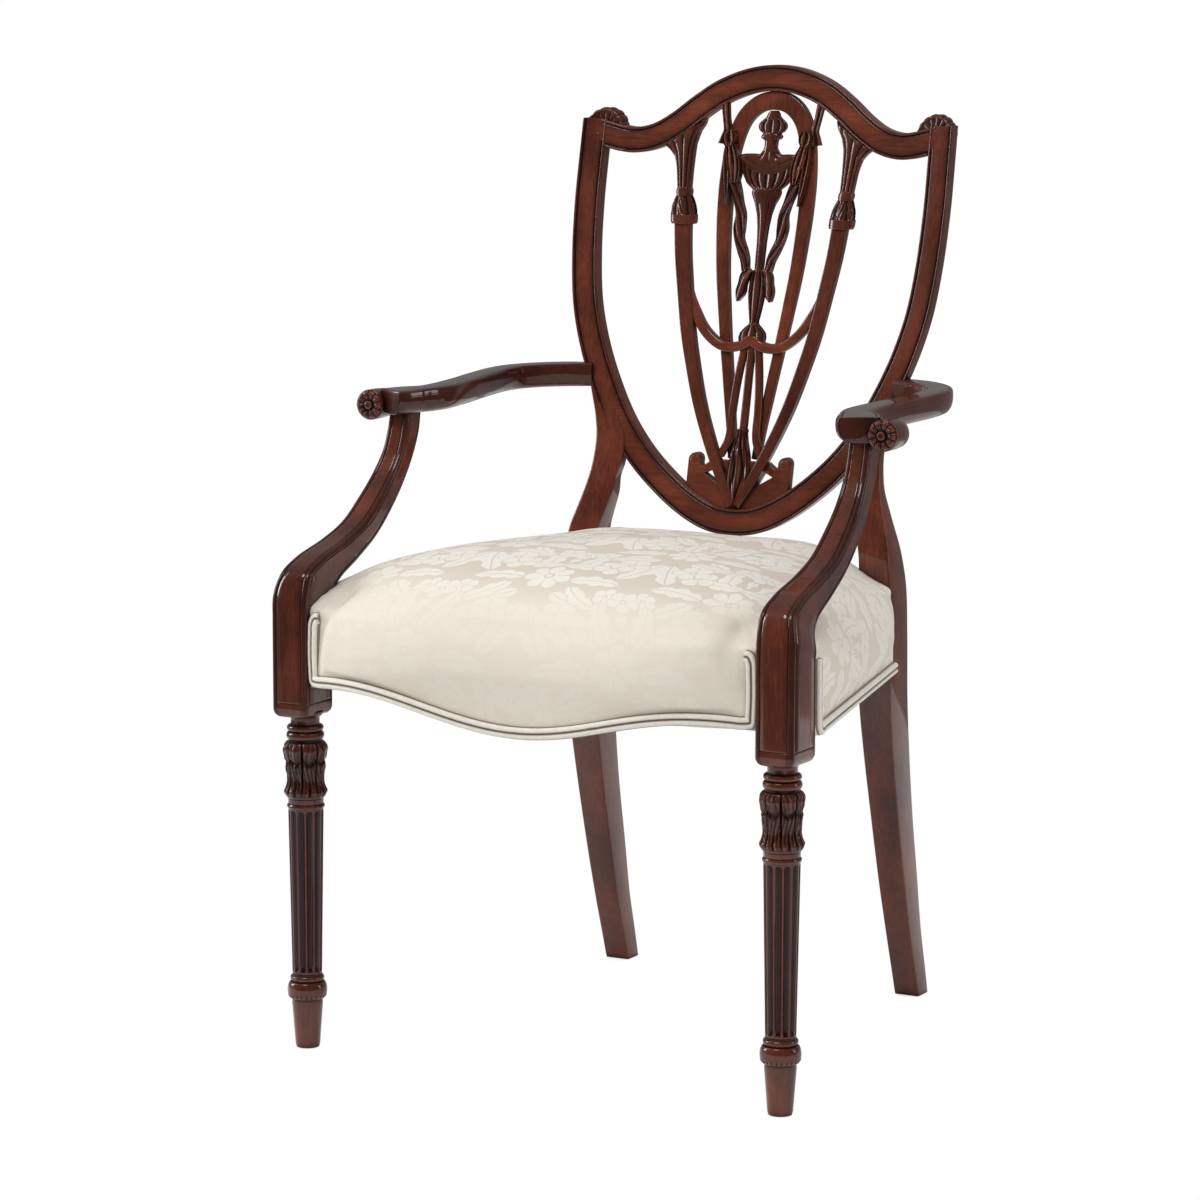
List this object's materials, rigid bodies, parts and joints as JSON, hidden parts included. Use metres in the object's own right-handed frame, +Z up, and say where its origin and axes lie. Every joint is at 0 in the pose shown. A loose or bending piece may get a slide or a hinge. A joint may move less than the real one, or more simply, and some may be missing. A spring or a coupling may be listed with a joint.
{
  "type": "shield back armchair",
  "caption": "Mahogany dining armchair with a pierced, carved shield back, turned and fluted front legs and a crowned upholstered seat.",
  "frame": {"origin": "on the floor under the middle of the chair's box", "axes": "+Z up, the chair faces -Y, +X to the right when the chair is seen from the front"},
  "size_m": [0.6156, 0.5936, 0.9854],
  "materials": {
    "mahogany": "dark red-brown, high-gloss lacquer, near-black antiqued edges",
    "carved_mahogany": "carved, lacquered, darkened in the hollows",
    "seat_frame_wood": "plain beech, unfinished",
    "damask": "ivory satin damask with a flower and leaf ground pattern",
    "piping": "ivory double piping",
    "screw_steel": "plain steel",
    "webbing": "woven jute",
    "lining": "black dust cover"
  },
  "bodies": {
    "root": {"arm_left": "mahogany", "arm_right": "mahogany", "back_rail": "seat_frame_wood", "back_welt": "piping", "crest_rail": "mahogany", "front_corner_block_left": "seat_frame_wood", "front_corner_block_right": "seat_frame_wood", "front_corner_screw_rail_left": "screw_steel", "front_corner_screw_rail_right": "screw_steel", "front_corner_screw_side_left": "screw_steel", "front_corner_screw_side_right": "screw_steel", "front_post_left": "mahogany", "front_post_right": "mahogany", "front_rail": "seat_frame_wood", "front_welt": "piping", "rear_corner_block_left": "seat_frame_wood", "rear_corner_block_right": "seat_frame_wood", "rear_corner_screw_rail_left": "screw_steel", "rear_corner_screw_rail_right": "screw_steel", "rear_corner_screw_side_left": "screw_steel", "rear_corner_screw_side_right": "screw_steel", "rear_leg_left": "mahogany", "rear_leg_right": "mahogany", "rosette_left": "carved_mahogany", "rosette_right": "carved_mahogany", "seat_cushion": "damask", "seat_lining": "lining", "shield_lower_rail": "mahogany", "shoulder_cap_left": "carved_mahogany", "shoulder_cap_right": "carved_mahogany", "side_rail_left": "seat_frame_wood", "side_rail_right": "seat_frame_wood", "side_welt_left": "piping", "side_welt_right": "piping", "splat_arch": "mahogany", "splat_bud": "carved_mahogany", "splat_drape_left": "carved_mahogany", "splat_drape_right": "carved_mahogany", "splat_husk": "carved_mahogany", "splat_rib_left": "carved_mahogany", "splat_rib_right": "carved_mahogany", "splat_shoe": "mahogany", "splat_stem_left": "mahogany", "splat_stem_middle": "mahogany", "splat_stem_right": "mahogany", "splat_swag": "mahogany", "splat_urn": "carved_mahogany", "webbing_cross_1": "webbing", "webbing_cross_2": "webbing", "webbing_cross_3": "webbing", "webbing_cross_4": "webbing", "webbing_long_1": "webbing", "webbing_long_2": "webbing", "webbing_long_3": "webbing", "webbing_long_4": "webbing"}
  },
  "joints": []
}
